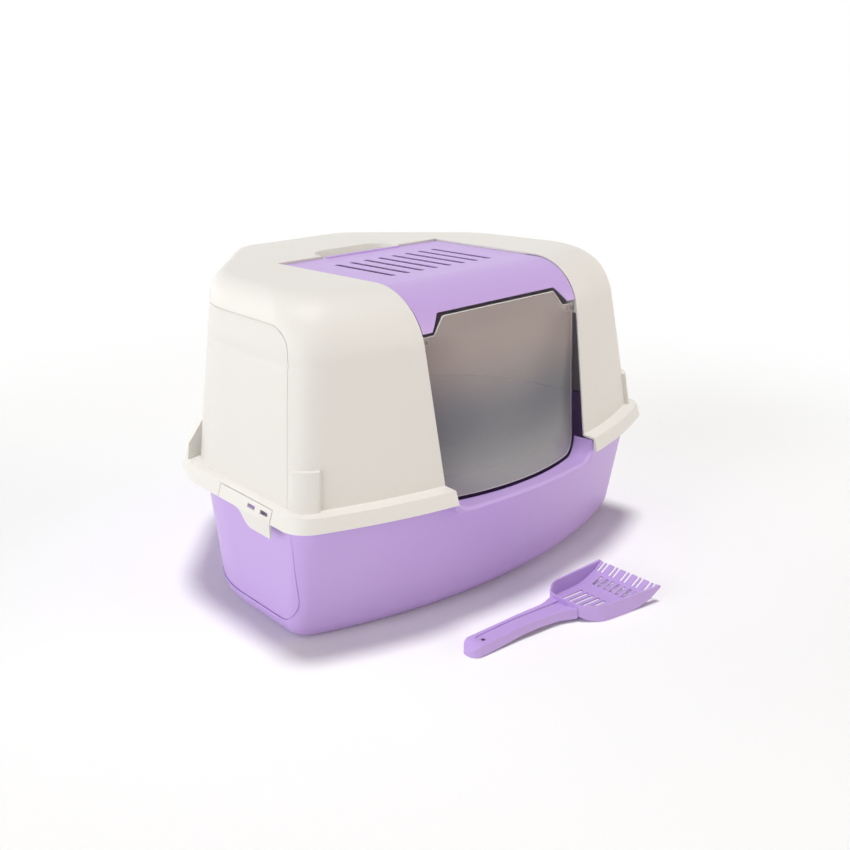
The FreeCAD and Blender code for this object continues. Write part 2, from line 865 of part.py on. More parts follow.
def flap_outline():
    """Front view of the flap pushed through the doorway."""
    front = skirt_front_y - overrun
    shoulder_half = sill_half_width + (flap_shoulder - sill_level) * opening_taper_share - flap_side_gap
    half = [
        (flap_bottom_half, flap_bottom, flap_corner),
        (shoulder_half, flap_shoulder, 0),
        (flap_shoulder_inner, flap_shoulder, tongue_corner),
        (flap_tongue_half, flap_top, tongue_corner),
    ]
    corners = [Vec(x, front, z) for x, z, _ in half]
    corners += [across(point) for point in reversed(corners)]
    radii = [radius for _, _, radius in half]
    return rounded_prism(corners, radii + radii[::-1], Vec(0, dip_depth + overrun, 0))


def make_flap():
    """Swinging flap, flat at its hinge line and bowed at its foot, with two pins."""
    half = sill_half_width + overrun
    sag = flap_bow_radius - math.sqrt(flap_bow_radius ** 2 - half ** 2)
    shoulder_y = flap_top_y - (flap_top - flap_shoulder) * front_lean_share
    foot = flap_strip(flap_bottom, flap_bottom_y, sag)
    shoulder = flap_strip(flap_shoulder, shoulder_y, 0)
    head = flap_strip(flap_top, flap_top_y, 0)
    lower = Part.makeLoft([foot, shoulder], True, True)
    upper = Part.makeLoft([shoulder, head], True, True)
    flap = upper.fuse(lower).common(flap_outline())
    way = Vec(1, 0, 0)
    start = Vec(flap_boss_start, flap_pivot_y, flap_pivot_z)
    boss = bar(flap_boss_radius, pin_boss_end - flap_boss_start, start, way)
    pin = bar(pin_radius, lug_inner_x + lug_thick - flap_boss_start, start, way)
    return flap.fuse(both_sides([boss, pin]))


def latch_outline():
    """Side view of the latch: plain at the rear, stepping down to a finger tongue."""
    spots = (
        (latch_front, latch_tongue),
        (latch_front, latch_top),
        (latch_rear, latch_top),
        (latch_rear, skirt_bottom),
        (latch_step_rear, skirt_bottom),
        (latch_step_front, latch_tongue),
    )
    corners = [Vec(-overrun, y, z) for y, z in spots]
    radii = [0, 0, 0, 0, latch_step_radius, latch_step_radius]
    return rounded_prism(corners, radii, Vec(2 * overrun, 0, 0))


def make_latch():
    """Right latch tongue with hook, windows and hinge bead."""
    lean = skirt_lean * (latch_top - skirt_bottom) / (skirt_top - skirt_bottom)
    face = [
        Vec(0, latch_front, latch_tongue),
        Vec(0, latch_front, skirt_bottom),
        Vec(-lean, latch_front, latch_top),
        Vec(-lean - latch_thick, latch_front, latch_top),
        Vec(-latch_thick, latch_front, skirt_bottom),
        Vec(-latch_thick, latch_front, latch_tongue),
    ]
    latch = prism(face, Vec(0, latch_rear - latch_front, 0)).common(latch_outline())
    hook = [
        Vec(-latch_thick / 2, latch_front, latch_hook_low),
        Vec(latch_hook_gap - rim_inset, latch_front, latch_hook_high),
        Vec(-latch_thick / 2, latch_front, latch_hook_high),
    ]
    latch = latch.fuse(prism(hook, Vec(0, latch_hook_length, 0)))
    for start in latch_window_starts:
        low = Vec(-overrun, start, latch_window_low)
        latch = latch.cut(box(low, Vec(overrun, start + latch_window_length, latch_window_high)))
    latch = to_side(latch)
    return latch.fuse([latch_bead(latch_bead_radius, 0), latch_bead(latch_pin_radius, latch_pin_length)])


def side_view(points, radii, half_width):
    """Block with a rounded outline in side view, as wide as two half widths."""
    corners = [Vec(x, -half_width, z) for x, z in points]
    return rounded_prism(corners, radii, Vec(0, 2 * half_width, 0))


def bowl_at(share):
    """Place along the scoop of a share of the bowl's length."""
    return neck_at + share * bowl_length


def bowl_plan(inset, spare):
    """Tall block with the plan of the scoop bowl, thinned by an inset."""
    half = [Vec(bowl_at(x), y * bowl_half_width - inset, -overrun) for x, y in bowl_side_shares]
    half[0].x += inset
    half[-1].x += spare
    other = [Vec(p.x, -p.y, p.z) for p in reversed(half)]
    radii = bowl_side_radii + bowl_side_radii[::-1]
    return rounded_prism(half + other, radii, Vec(0, 0, 4 * overrun))


def bowl_slots():
    """Two rows of slots through the floor of the bowl."""
    half = bowl_slot_width / 2
    cuts = []
    for y in spread(bowl_slot_count, bowl_slot_pitch):
        for front, rear in (long_slot_shares, short_slot_shares):
            low = Vec(bowl_at(front), y - half, -overrun)
            cuts.append(box(low, Vec(bowl_at(rear), y + half, scoop_height)))
    return cuts


def comb_slits():
    """Pairs of slits that make the comb edge."""
    half = comb_slit_width / 2
    start = bowl_at(comb_start_share)
    cuts = []
    for group in spread(comb_group_count, comb_group_pitch):
        for offset in spread(2, comb_slit_pitch):
            y = group + offset
            high = Vec(scoop_length + overrun, y + half, scoop_height + overrun)
            cuts.append(box(Vec(start, y - half, -overrun), high))
    return cuts


def scoop_bowl():
    """Open bowl of the scoop with a slotted floor and a comb edge."""
    foot = [(bowl_at(x), z * scoop_height) for x, z in bowl_foot_shares]
    radii = bowl_foot_radii + (0, 0)
    brim = [(scoop_length, scoop_height), (foot[0][0], scoop_height)]
    outer = side_view(foot + brim, radii, bowl_half_width).common(bowl_plan(0, 0))
    floor = [(x, z + scoop_wall) for x, z in foot]
    above = [(x, z + overrun) for x, z in brim]
    inner = side_view(floor + above, radii, bowl_half_width).common(bowl_plan(scoop_wall, overrun))
    return outer.cut(inner).cut(bowl_slots() + comb_slits())


def handle_plan(half, radii):
    """Tall block over one side of the handle's or trough's plan and its mirror image."""
    far = [Vec(x, y, -overrun) for x, y in half]
    near = [Vec(p.x, -p.y, p.z) for p in reversed(far)]
    return rounded_prism(far + near, radii + radii[::-1], Vec(0, 0, 4 * overrun))


def handle_line(shares, drop):
    """Points of the handle's side view, lowered by a drop."""
    return [(x * neck_at, z * handle_height - drop) for x, z in shares]


def from_top(drop, level, half_width):
    """Block between the handle's top, lowered by a drop, and a level."""
    top = handle_line(handle_top_shares, drop)
    ends = [(top[-1][0], level), (top[0][0], level)]
    return side_view(top + ends, handle_top_radii + (0, 0), half_width)


def scoop_handle():
    """Arched handle that flares into the bowl, hollow below, with a trough and a hanging hole."""
    sides = [(x * neck_at, y * neck_half_width) for x, y in handle_side_shares]
    radii = handle_top_radii + handle_foot_radii
    outline = handle_line(handle_top_shares, 0) + handle_line(handle_foot_shares, 0)
    block = side_view(outline, radii, bowl_half_width).common(handle_plan(sides, handle_side_radii))
    space = from_top(scoop_wall + trough_depth, -overrun, trough_half_width)
    limits = box(Vec(handle_solid_end, -neck_half_width, -overrun), Vec(neck_at, neck_half_width, overrun))
    trough = from_top(trough_depth, overrun, trough_half_width)
    trough_sides = [(trough_start, trough_half_width), (sides[-1][0] + overrun, trough_half_width)]
    bed = handle_plan(trough_sides, (trough_corner, 0))
    hole = bar(hang_hole_radius, 4 * overrun, Vec(hang_hole_at, 0, -overrun), turn_axis)
    return block.cut([space.common(limits), trough.common(bed), hole])


def make_scoop():
    """Scoop as one piece, laid on the floor at its angle."""
    scoop = scoop_bowl().fuse(scoop_handle())
    scoop.rotate(Vec(0, 0, 0), turn_axis, scoop_turn)
    scoop.translate(Vec(scoop_x, scoop_y, 0))
    return scoop


def main():
    """Build every piece and write one file for each."""
    os.makedirs("parts", exist_ok=True)
    latch = make_latch()
    pieces = {
        "litter_tray": make_tray(),
        "hood": make_hood(),
        "roof_panel": make_panel(),
        "filter_holder": make_holder(),
        "charcoal_filter": make_filter(),
        "door_flap": make_flap(),
        "right_latch": latch,
        "left_latch": mirrored(latch),
        "scoop": make_scoop(),
    }
    for name, shape in pieces.items():
        shape.removeSplitter().exportStep("parts/" + name + ".step")


main()
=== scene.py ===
import math

import bmesh
import bpy
from bpy.props import FloatProperty, FloatVectorProperty, IntProperty, PointerProperty
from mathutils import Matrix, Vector


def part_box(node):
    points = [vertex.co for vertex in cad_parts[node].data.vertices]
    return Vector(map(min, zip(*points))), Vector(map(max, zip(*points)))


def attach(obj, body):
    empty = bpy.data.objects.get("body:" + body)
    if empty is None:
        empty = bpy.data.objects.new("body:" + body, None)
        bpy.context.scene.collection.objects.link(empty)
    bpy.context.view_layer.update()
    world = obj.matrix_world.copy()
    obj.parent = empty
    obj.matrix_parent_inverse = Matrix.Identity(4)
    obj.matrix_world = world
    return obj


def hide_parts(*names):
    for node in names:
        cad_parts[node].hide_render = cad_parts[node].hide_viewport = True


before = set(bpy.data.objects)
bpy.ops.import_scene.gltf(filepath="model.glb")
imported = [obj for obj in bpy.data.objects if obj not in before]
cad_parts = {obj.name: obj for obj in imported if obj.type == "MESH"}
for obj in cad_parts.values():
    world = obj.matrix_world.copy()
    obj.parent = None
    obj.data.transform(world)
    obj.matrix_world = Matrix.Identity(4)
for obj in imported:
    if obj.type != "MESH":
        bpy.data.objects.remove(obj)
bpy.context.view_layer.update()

bl_info = {
    "name": "Corner litter box",
    "version": (1, 0, 0),
    "blender": (4, 5, 0),
    "location": "View3D > Sidebar > Litter box",
    "description": "Dresses the hooded corner litter box and its scoop, and sets the studio around them",
    "category": "Object",
}

# Points closer than this are one point, in metres.
MERGE_DISTANCE = 2e-6
# Edges sharper than the first angle are rounded, and faces flatter than the second are shaded as one.
SHARP_ANGLE = math.radians(28.0)
SMOOTH_ANGLE = math.radians(40.0)
ROUND_PROFILE = 0.5
# A wall of the fine groove round a side field lies beyond this X, is narrower than this width,
# and its normal has no more X than this tilt.
GROOVE_INNER_X = 0.2
GROOVE_WALL_WIDTH = 0.002
GROOVE_WALL_TILT = 0.02

WHITE = (1.0, 1.0, 1.0)
PRINCIPLED = "ShaderNodeBsdfPrincipled"
TEX_COORD = "ShaderNodeTexCoord"
MAP_RANGE = "ShaderNodeMapRange"


def metres(name, description, default):
    """Length property shown in the scene's units."""
    return FloatProperty(
        name=name, description=description, default=default, min=0.0, subtype="DISTANCE", precision=5
    )


def degrees(name, description, default):
    """Angle property, with its default given in degrees."""
    return FloatProperty(name=name, description=description, default=math.radians(default), subtype="ANGLE")


def amount(name, description, default):
    """Plain number property, such as a light's strength."""
    return FloatProperty(name=name, description=description, default=default)


def factor(name, description, default):
    """Share property from nothing to all."""
    return FloatProperty(
        name=name, description=description, default=default, min=0.0, max=1.0, subtype="FACTOR"
    )


def count(name, description, default):
    """Whole number property of one or more."""
    return IntProperty(name=name, description=description, default=default, min=1)


def colour(name, description, default):
    """Linear colour property."""
    return FloatVectorProperty(name=name, description=description, default=default, size=3, subtype="COLOR")


def direction(name, description, default):
    """Direction property, along which a light shines."""
    return FloatVectorProperty(
        name=name, description=description, default=default, size=3, subtype="DIRECTION"
    )


class MouldingSettings(bpy.types.PropertyGroup):
    """Edges, colours and finishes of the moulded pieces."""

    shell_edge: metres("Shell edge", "Rounding of the edges of the tray and the hood", 0.0005)
    panel_edge: metres("Panel edge", "Rounding of the edges of the roof panel", 0.0005)
    holder_edge: metres("Holder edge", "Rounding of the edges of the filter holder", 0.00025)
    flap_edge: metres("Flap edge", "Rounding of the edges of the flap", 0.0007)
    latch_edge: metres("Latch edge", "Rounding of the edges of the latches", 0.0003)
    scoop_edge: metres("Scoop edge", "Rounding of the edges of the scoop", 0.0004)
    edge_steps: count("Edge steps", "Faces across a rounded edge", 2)
    cream: colour("Cream", "Colour of the hood and its latches", (0.735, 0.712, 0.672))
    cream_roughness: factor("Cream roughness", "Roughness of the hood and its latches", 0.5)
    lilac: colour("Lilac", "Colour of the tray, the roof panel and the scoop", (0.515, 0.357, 0.71))
    lilac_roughness: factor("Lilac roughness", "Roughness of the tray, the roof panel and the scoop", 0.4)
    grain_strength: factor("Grain strength", "Relief of the moulded grain on cream and lilac", 0.25)
    grain_depth: metres("Grain depth", "Height of the moulded grain", 0.0002)


class FlapSettings(bpy.types.PropertyGroup):
    """Smoky finish of the see-through flap, with painted light and painted shade of its inside."""

    # The top colour is painted light from the lit inside of the hood, and the foot colour is painted shade
    # from the inside of the tray; both show through the sheet.
    smoke_painted_light: colour("Smoke", "Colour near the top", (0.62, 0.52, 0.49))
    smoke_painted_shade: colour("Smoke foot", "Colour near the foot", (0.34, 0.35, 0.375))
    smoke_hem: colour("Smoke hem", "Colour along the lower edge", (0.58, 0.585, 0.59))
    # The edge's pale colour is a painted highlight.
    edge_painted_highlight: colour("Smoke edge", "Colour of the light-catching edge", (0.75, 0.74, 0.72))
    foot_place: factor("Foot place", "Share of the height at which the foot's colour is full", 0.42)
    smoke_place: factor("Smoke place", "Share of the height at which the top's colour is full", 0.78)
    smoke_cover: factor("Smoke cover", "How much the sheet hides", 0.33)
    hem_cover: factor("Hem cover", "How much the sheet hides along its lower edge", 0.42)
    edge_cover: factor("Edge cover", "How much the edge hides", 0.9)
    sheet_roughness: factor("Sheet roughness", "Roughness of the sheet", 0.15)
    edge_roughness: factor("Edge roughness", "Roughness of the edge", 0.3)
    sheet_grain: factor("Sheet grain", "Relief of the sheet's grain", 0.01)
    edge_grain: factor("Edge grain", "Relief of the edge's grain", 0.1)
    grain_scale: amount("Grain scale", "Fineness of the sheet's grain", 160.0)


class PadSettings(bpy.types.PropertyGroup):
    """Shape and finish of the charcoal filter pad."""

    charcoal: colour("Charcoal", "Colour in the middle of the foam's cells", (0.02, 0.02, 0.022))
    cell_light: amount("Cell light", "How much lighter the cells' edges are", 3.0)
    cell_scale: amount("Cell scale", "Fineness of the foam's cells", 450.0)
    cell_strength: factor("Cell strength", "Relief of the foam's cells", 0.9)
    cell_depth: metres("Cell depth", "Height of the foam's cells", 0.0015)
    roughness: factor("Roughness", "Roughness of the foam", 0.95)
    cuts: count("Cuts", "Cuts along each side of the pad's mesh", 36)
    softness: factor("Softness", "How far each smoothing pulls the pad's sides in", 0.5)
    smoothings: count("Smoothings", "How often the pad is smoothed", 14)
    lump_size: metres("Lump size", "Size of the lumps in the pad's face", 0.012)
    lump_depth: metres("Lump depth", "Depth of the hollows in the pad's face", 0.0008)


class StudioSettings(bpy.types.PropertyGroup):
    """Camera, light and floor."""

    azimuth: degrees("Azimuth", "Camera's turn round the object", -45.435)
    elevation: degrees("Elevation", "Camera's height angle", 17.88)
    distance: metres("Distance", "From the camera to its target", 1.512444)
    target: FloatVectorProperty(
        name="Target",
        description="Point that the camera looks at",
        default=(0.004319, -0.057118, 0.173915),
        subtype="XYZ",
        unit="LENGTH",
    )
    lens: FloatProperty(
        name="Lens", description="Focal length in millimetres", default=48.709, subtype="DISTANCE_CAMERA"
    )
    sky: amount("Sky", "Strength of the even light from all round", 0.15)
    key: amount("Key", "Strength of the soft light from the left", 2.4)
    key_direction: direction("Key direction", "Where the light from the left shines", (0.98, -0.02, -0.07))
    key_spread: degrees("Key spread", "Softness of the light from the left", 50.0)
    top: amount("Top", "Strength of the soft light from above", 1.95)
    top_direction: direction("Top direction", "Where the light from above shines", (-0.03, -0.02, -1.0))
    top_spread: degrees("Top spread", "Softness of the light from above", 16.0)
    front: amount("Front", "Strength of the warm light on the front", 1.8)
    front_direction: direction("Front direction", "Where the warm light shines", (-0.7, 1.0, -0.07))
    front_spread: degrees("Front spread", "Softness of the warm light", 60.0)
    front_tint: colour("Front tint", "Colour of the warm light", (1.0, 0.9, 0.8))
    rear: amount("Rear", "Strength of the soft light from behind", 1.0)
    rear_direction: direction("Rear direction", "Where the light from behind shines", (0.35, -0.93, -0.07))
    rear_spread: degrees("Rear spread", "Softness of the light from behind", 60.0)
    floor_size: metres("Floor size", "Side of the square floor", 12.0)
    floor_colour: colour("Floor colour", "Colour of the floor near the object", (0.97, 0.97, 0.97))
    floor_roughness: factor("Floor roughness", "Roughness of the floor", 0.9)
    fade_start: metres("Fade start", "From the middle to where the floor starts to turn white", 0.7)
    fade_end: metres("Fade end", "From the middle to where the floor is white", 1.5)


def settings():
    """Moulding settings of the scene."""
    return bpy.context.scene.litter_box_moulding


def opaque(paint):
    """Colour with full alpha, as a socket takes it."""
    return (*paint, 1.0)


def fill(node, **values):
    """Set sockets of a node, with underscores for the spaces in their names."""
    for label, value in values.items():
        node.inputs[label.replace("_", " ")].default_value = value
    return node


def math_node(tree, operation):
    """Math node with its operation."""
    node = tree.nodes.new("ShaderNodeMath")
    node.operation = operation
    return node


def nodes_of(material):
    """Cleared node tree of a material, with its output."""
    material.use_nodes = True
    tree = material.node_tree
    tree.nodes.clear()
    output = tree.nodes.new("ShaderNodeOutputMaterial")
    return tree, output


def node_of(tree, kind):
    """First node of a kind."""
    return next(node for node in tree.nodes if node.type == kind)


def grain_group():
    """Fine moulded grain: a height, a roughness and a faint change of tone."""
    name = "moulded_grain"
    if name in bpy.data.node_groups:
        return bpy.data.node_groups[name]
    group = bpy.data.node_groups.new(name, "ShaderNodeTree")
    for label, default in (
        ("Grain Scale", 1400.0),
        ("Base Roughness", 0.4),
        ("Roughness Spread", 0.08),
        ("Tone Spread", 0.03),
    ):
        socket = group.interface.new_socket(label, in_out="INPUT", socket_type="NodeSocketFloat")
        socket.default_value = default
    group.interface.new_socket("Colour", in_out="INPUT", socket_type="NodeSocketColor")
    group.interface.new_socket("Colour", in_out="OUTPUT", socket_type="NodeSocketColor")
    for label in ("Roughness", "Height"):
        group.interface.new_socket(label, in_out="OUTPUT", socket_type="NodeSocketFloat")
    make = group.nodes.new
    link = group.links.new
    inside = make("NodeGroupInput")
    outside = make("NodeGroupOutput")
    place = make(TEX_COORD)
    grain = fill(make("ShaderNodeTexNoise"), Detail=3.0)
    link(place.outputs["Object"], grain.inputs["Vector"])
    link(inside.outputs["Grain Scale"], grain.inputs["Scale"])
    link(grain.outputs["Fac"], outside.inputs["Height"])
    flow = fill(make("ShaderNodeTexNoise"), Scale=7.0, Detail=4.0)
    link(place.outputs["Object"], flow.inputs["Vector"])
    centred = math_node(group, "SUBTRACT")
    centred.inputs[1].default_value = 0.5
    link(flow.outputs["Fac"], centred.inputs[0])
    rough = math_node(group, "MULTIPLY_ADD")
    link(centred.outputs[0], rough.inputs[0])
    link(inside.outputs["Roughness Spread"], rough.inputs[1])
    link(inside.outputs["Base Roughness"], rough.inputs[2])
    link(rough.outputs[0], outside.inputs["Roughness"])
    tone = math_node(group, "MULTIPLY_ADD")
    tone.inputs[2].default_value = 1.0
    link(centred.outputs[0], tone.inputs[0])
    link(inside.outputs["Tone Spread"], tone.inputs[1])
    scaled = make("ShaderNodeVectorMath")
    scaled.operation = "SCALE"
    link(inside.outputs["Colour"], scaled.inputs[0])
    link(tone.outputs[0], scaled.inputs["Scale"])
    link(scaled.outputs[0], outside.inputs["Colour"])
    return group


def moulded_plastic(name, paint, roughness, strength):
    """Satin moulded plastic with a fine grain."""
    if name in bpy.data.materials:
        return bpy.data.materials[name]
    material = bpy.data.materials.new(name)
    tree, output = nodes_of(material)
    shader = tree.nodes.new(PRINCIPLED)
    grain = tree.nodes.new("ShaderNodeGroup")
    grain.node_tree = grain_group()
    fill(grain, Colour=opaque(paint), Base_Roughness=roughness)
    relief = fill(tree.nodes.new("ShaderNodeBump"), Strength=strength, Distance=settings().grain_depth)
    link = tree.links.new
    link(grain.outputs["Colour"], shader.inputs["Base Color"])
    link(grain.outputs["Roughness"], shader.inputs["Roughness"])
    link(grain.outputs["Height"], relief.inputs["Height"])
    link(relief.outputs["Normal"], shader.inputs["Normal"])
    link(shader.outputs["BSDF"], output.inputs["Surface"])
    return material


def cream_plastic():
    """Finish of the hood and the latches."""
    finish = settings()
    return moulded_plastic("cream_plastic", finish.cream, finish.cream_roughness, finish.grain_strength)


def lilac_plastic():
    """Finish of the tray, the roof panel and the scoop."""
    finish = settings()
    return moulded_plastic("lilac_plastic", finish.lilac, finish.lilac_roughness, finish.grain_strength)


def smoke_and_painted_inside(finish):
    """See-through smoky finish of the flap, with a tone and a cover that change with its height: the tone
    is painted light near the top and painted shade near the foot, for the lit hood and the shaded tray
    inside.
    """
    material = moulded_plastic("smoke_and_painted_inside", finish.smoke_painted_light, finish.sheet_roughness, finish.sheet_grain)
    tree = material.node_tree
    grain = fill(node_of(tree, "GROUP"), Grain_Scale=finish.grain_scale)
    low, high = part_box("door_flap")
    place = tree.nodes.new(TEX_COORD)
    split = tree.nodes.new("ShaderNodeSeparateXYZ")
    height = fill(tree.nodes.new(MAP_RANGE), From_Min=low[2], From_Max=high[2])
    # Painted light near the top, painted shade near the foot, and paler along the lower edge.
    tint = tree.nodes.new("ShaderNodeValToRGB")
    ramp = tint.color_ramp
    ramp.interpolation = "EASE"
    ramp.elements[0].color = opaque(finish.smoke_hem)
    ramp.elements[1].position = finish.smoke_place
    ramp.elements[1].color = opaque(finish.smoke_painted_light)
    ramp.elements.new(finish.foot_place).color = opaque(finish.smoke_painted_shade)
    cover = fill(
        tree.nodes.new(MAP_RANGE),
        From_Max=finish.foot_place,
        To_Min=finish.hem_cover,
        To_Max=finish.smoke_cover,
    )
    cover.interpolation_type = "SMOOTHSTEP"
    link = tree.links.new
    link(place.outputs["Object"], split.inputs["Vector"])
    link(split.outputs["Z"], height.inputs["Value"])
    link(height.outputs["Result"], tint.inputs["Fac"])
    link(tint.outputs["Color"], grain.inputs["Colour"])
    link(height.outputs["Result"], cover.inputs["Value"])
    link(cover.outputs["Result"], node_of(tree, "BSDF_PRINCIPLED").inputs["Alpha"])
    return material


def flap_painted_highlight(finish):
    """Pale edge of the flap: a painted highlight where the sheet catches the light."""
    material = moulded_plastic("flap_painted_highlight", finish.edge_painted_highlight, finish.edge_roughness, finish.edge_grain)
    fill(node_of(material.node_tree, "BSDF_PRINCIPLED"), Alpha=finish.edge_cover)
    return material


def charcoal_foam(finish):
    """Open foam of the filter pad."""
    material = bpy.data.materials.new("charcoal_foam")
    tree, output = nodes_of(material)
    shader = fill(tree.nodes.new(PRINCIPLED), Roughness=finish.roughness)
    place = tree.nodes.new(TEX_COORD)
    cells = fill(tree.nodes.new("ShaderNodeTexVoronoi"), Scale=finish.cell_scale)
    relief = fill(
        tree.nodes.new("ShaderNodeBump"), Strength=finish.cell_strength, Distance=finish.cell_depth
    )
    tint = tree.nodes.new("ShaderNodeValToRGB")
    tint.color_ramp.elements[0].color = opaque(finish.charcoal)
    tint.color_ramp.elements[1].color = opaque([finish.cell_light * part for part in finish.charcoal])
    link = tree.links.new
    link(place.outputs["Object"], cells.inputs["Vector"])
    link(cells.outputs["Distance"], relief.inputs["Height"])
    link(cells.outputs["Distance"], tint.inputs["Fac"])
    link(tint.outputs["Color"], shader.inputs["Base Color"])
    link(relief.outputs["Normal"], shader.inputs["Normal"])
    link(shader.outputs["BSDF"], output.inputs["Surface"])
    return material


def pick_only(thing):
    """Deselect everything and make one object active."""
    bpy.ops.object.select_all(action="DESELECT")
    thing.select_set(True)
    bpy.context.view_layer.objects.active = thing


def is_groove_wall(face):
    """Tell a wall of the fine groove round a side field by its normal, its place and its narrowness."""
    if abs(face.normal.x) > GROOVE_WALL_TILT or abs(face.calc_center_median().x) < GROOVE_INNER_X:
        return False
    strip_area = face.calc_area() * (2 if len(face.verts) == 3 else 1)
    return strip_area < GROOVE_WALL_WIDTH * max(edge.calc_length() for edge in face.edges)


def select_outer_edges(mesh):
    """Select the sharp edges of a mesh in edit mode, without those of the fine grooves."""
    bpy.ops.mesh.select_all(action="DESELECT")
    bpy.ops.mesh.edges_select_sharp(sharpness=SHARP_ANGLE)
    shape = bmesh.from_edit_mesh(mesh)
    for edge in shape.edges:
        if edge.select and any(is_groove_wall(face) for face in edge.link_faces):
            edge.select_set(False)
    bmesh.update_edit_mesh(mesh)


def moulding(node, name, body, materials, radius):
    """Copy of a piece with merged faces and rounded edges, which stands for it."""
    piece = bpy.data.objects.new(name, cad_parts[node].data.copy())
    bpy.context.scene.collection.objects.link(piece)
    piece.data.materials.clear()
    for material in materials:
        piece.data.materials.append(material)
    pick_only(piece)
    bpy.ops.object.mode_set(mode="EDIT")
    bpy.ops.mesh.select_mode(type="EDGE")
    bpy.ops.mesh.select_all(action="SELECT")
    bpy.ops.mesh.remove_doubles(threshold=MERGE_DISTANCE)
    bpy.ops.mesh.customdata_custom_splitnormals_clear()
    select_outer_edges(piece.data)
    # The rounded edges take the last material, which on the flap is the painted highlight.
    bpy.ops.mesh.bevel(
        offset=radius,
        segments=settings().edge_steps,
        profile=ROUND_PROFILE,
        material=len(materials) - 1,
        clamp_overlap=False,
        loop_slide=False,
        affect="EDGES",
    )
    bpy.ops.mesh.select_all(action="SELECT")
    bpy.ops.mesh.dissolve_degenerate(threshold=MERGE_DISTANCE)
    bpy.ops.mesh.select_all(action="DESELECT")
    bpy.ops.object.mode_set(mode="OBJECT")
    bpy.ops.object.shade_smooth_by_angle(angle=SMOOTH_ANGLE)
    weighted = piece.modifiers.new("even_normals", "WEIGHTED_NORMAL")
    weighted.keep_sharp = True
    bpy.ops.object.modifier_apply(modifier=weighted.name)
    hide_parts(node)
    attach(piece, body)


def charcoal_pad(finish):
    """Soft filter pad with pulled-in sides and an uneven face."""
    low, high = (Vector(corner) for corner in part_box("charcoal_filter"))
    bpy.ops.object.select_all(action="DESELECT")
    bpy.ops.mesh.primitive_cube_add(size=1.0, location=(low + high) / 2)
    pad = bpy.context.active_object
    pad.name = "charcoal_pad"
    pad.dimensions = high - low
    bpy.ops.object.transform_apply(location=True, rotation=False, scale=True)
    bpy.ops.object.mode_set(mode="EDIT")
    bpy.ops.mesh.select_all(action="SELECT")
    bpy.ops.mesh.subdivide(number_cuts=finish.cuts)
    bpy.ops.mesh.select_all(action="DESELECT")
    bpy.ops.object.mode_set(mode="OBJECT")
    soft = pad.modifiers.new("pulled_in", "SMOOTH")
    soft.factor = finish.softness
    soft.iterations = finish.smoothings
    bpy.ops.object.modifier_apply(modifier=soft.name)
    lumps = bpy.data.textures.new("pad_lumps", "CLOUDS")
    lumps.noise_scale = finish.lump_size
    uneven = pad.modifiers.new("uneven", "DISPLACE")
    uneven.texture = lumps
    uneven.texture_coords = "LOCAL"
    # At a middle level of one the face is only pressed in, never raised.
    uneven.mid_level = 1.0
    uneven.strength = finish.lump_depth
    bpy.ops.object.modifier_apply(modifier=uneven.name)
    bpy.ops.object.shade_smooth()
    pad.data.materials.append(charcoal_foam(finish))
    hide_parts("charcoal_filter")
    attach(pad, "roof")


class LITTERBOX_OT_tray(bpy.types.Operator):
    """Dress the tray."""

    bl_idname = "litterbox.tray"
    bl_label = "Tray"

    def execute(self, context):
        edge = settings().shell_edge
        moulding("litter_tray", "tray_moulding", "tray", [lilac_plastic()], edge)
        return {"FINISHED"}


class LITTERBOX_OT_hood(bpy.types.Operator):
    """Dress the hood and its two latches."""

    bl_idname = "litterbox.hood"
    bl_label = "Hood"

    def execute(self, context):
        edge = settings().shell_edge
        moulding("hood", "hood_moulding", "hood_shell", [cream_plastic()], edge)
        edge = settings().latch_edge
        for side in ("left", "right"):
            name = side + "_latch_tongue"
            moulding(side + "_latch", name, "latch_" + side, [cream_plastic()], edge)
        return {"FINISHED"}


class LITTERBOX_OT_roof(bpy.types.Operator):
    """Dress the vented roof panel with its filter."""

    bl_idname = "litterbox.roof"
    bl_label = "Roof panel"

    def execute(self, context):
        edge = settings().panel_edge
        moulding("roof_panel", "roof_panel_moulding", "roof", [lilac_plastic()], edge)
        name = "filter_holder_moulding"
        edge = settings().holder_edge
        moulding("filter_holder", name, "roof", [lilac_plastic()], edge)
        charcoal_pad(context.scene.litter_box_pad)
        return {"FINISHED"}


class LITTERBOX_OT_flap(bpy.types.Operator):
    """Dress the swinging flap."""

    bl_idname = "litterbox.flap"
    bl_label = "Flap"

    def execute(self, context):
        finish = context.scene.litter_box_flap
        materials = [smoke_and_painted_inside(finish), flap_painted_highlight(finish)]
        moulding("door_flap", "flap_moulding", "flap", materials, settings().flap_edge)
        return {"FINISHED"}


class LITTERBOX_OT_scoop(bpy.types.Operator):
    """Dress the loose scoop."""

    bl_idname = "litterbox.scoop"
    bl_label = "Scoop"

    def execute(self, context):
        edge = settings().scoop_edge
        moulding("scoop", "scoop_moulding", "litter_scoop", [lilac_plastic()], edge)
        return {"FINISHED"}


def seen_rays(tree):
    """Value of one for rays that show a surface: camera, glossy and transmission rays."""
    path = tree.nodes.new("ShaderNodeLightPath")
    first = math_node(tree, "MAXIMUM")
    second = math_node(tree, "MAXIMUM")
    tree.links.new(path.outputs["Is Camera Ray"], first.inputs[0])
    tree.links.new(path.outputs["Is Glossy Ray"], first.inputs[1])
    tree.links.new(first.outputs[0], second.inputs[0])
    tree.links.new(path.outputs["Is Transmission Ray"], second.inputs[1])
    return second.outputs[0]


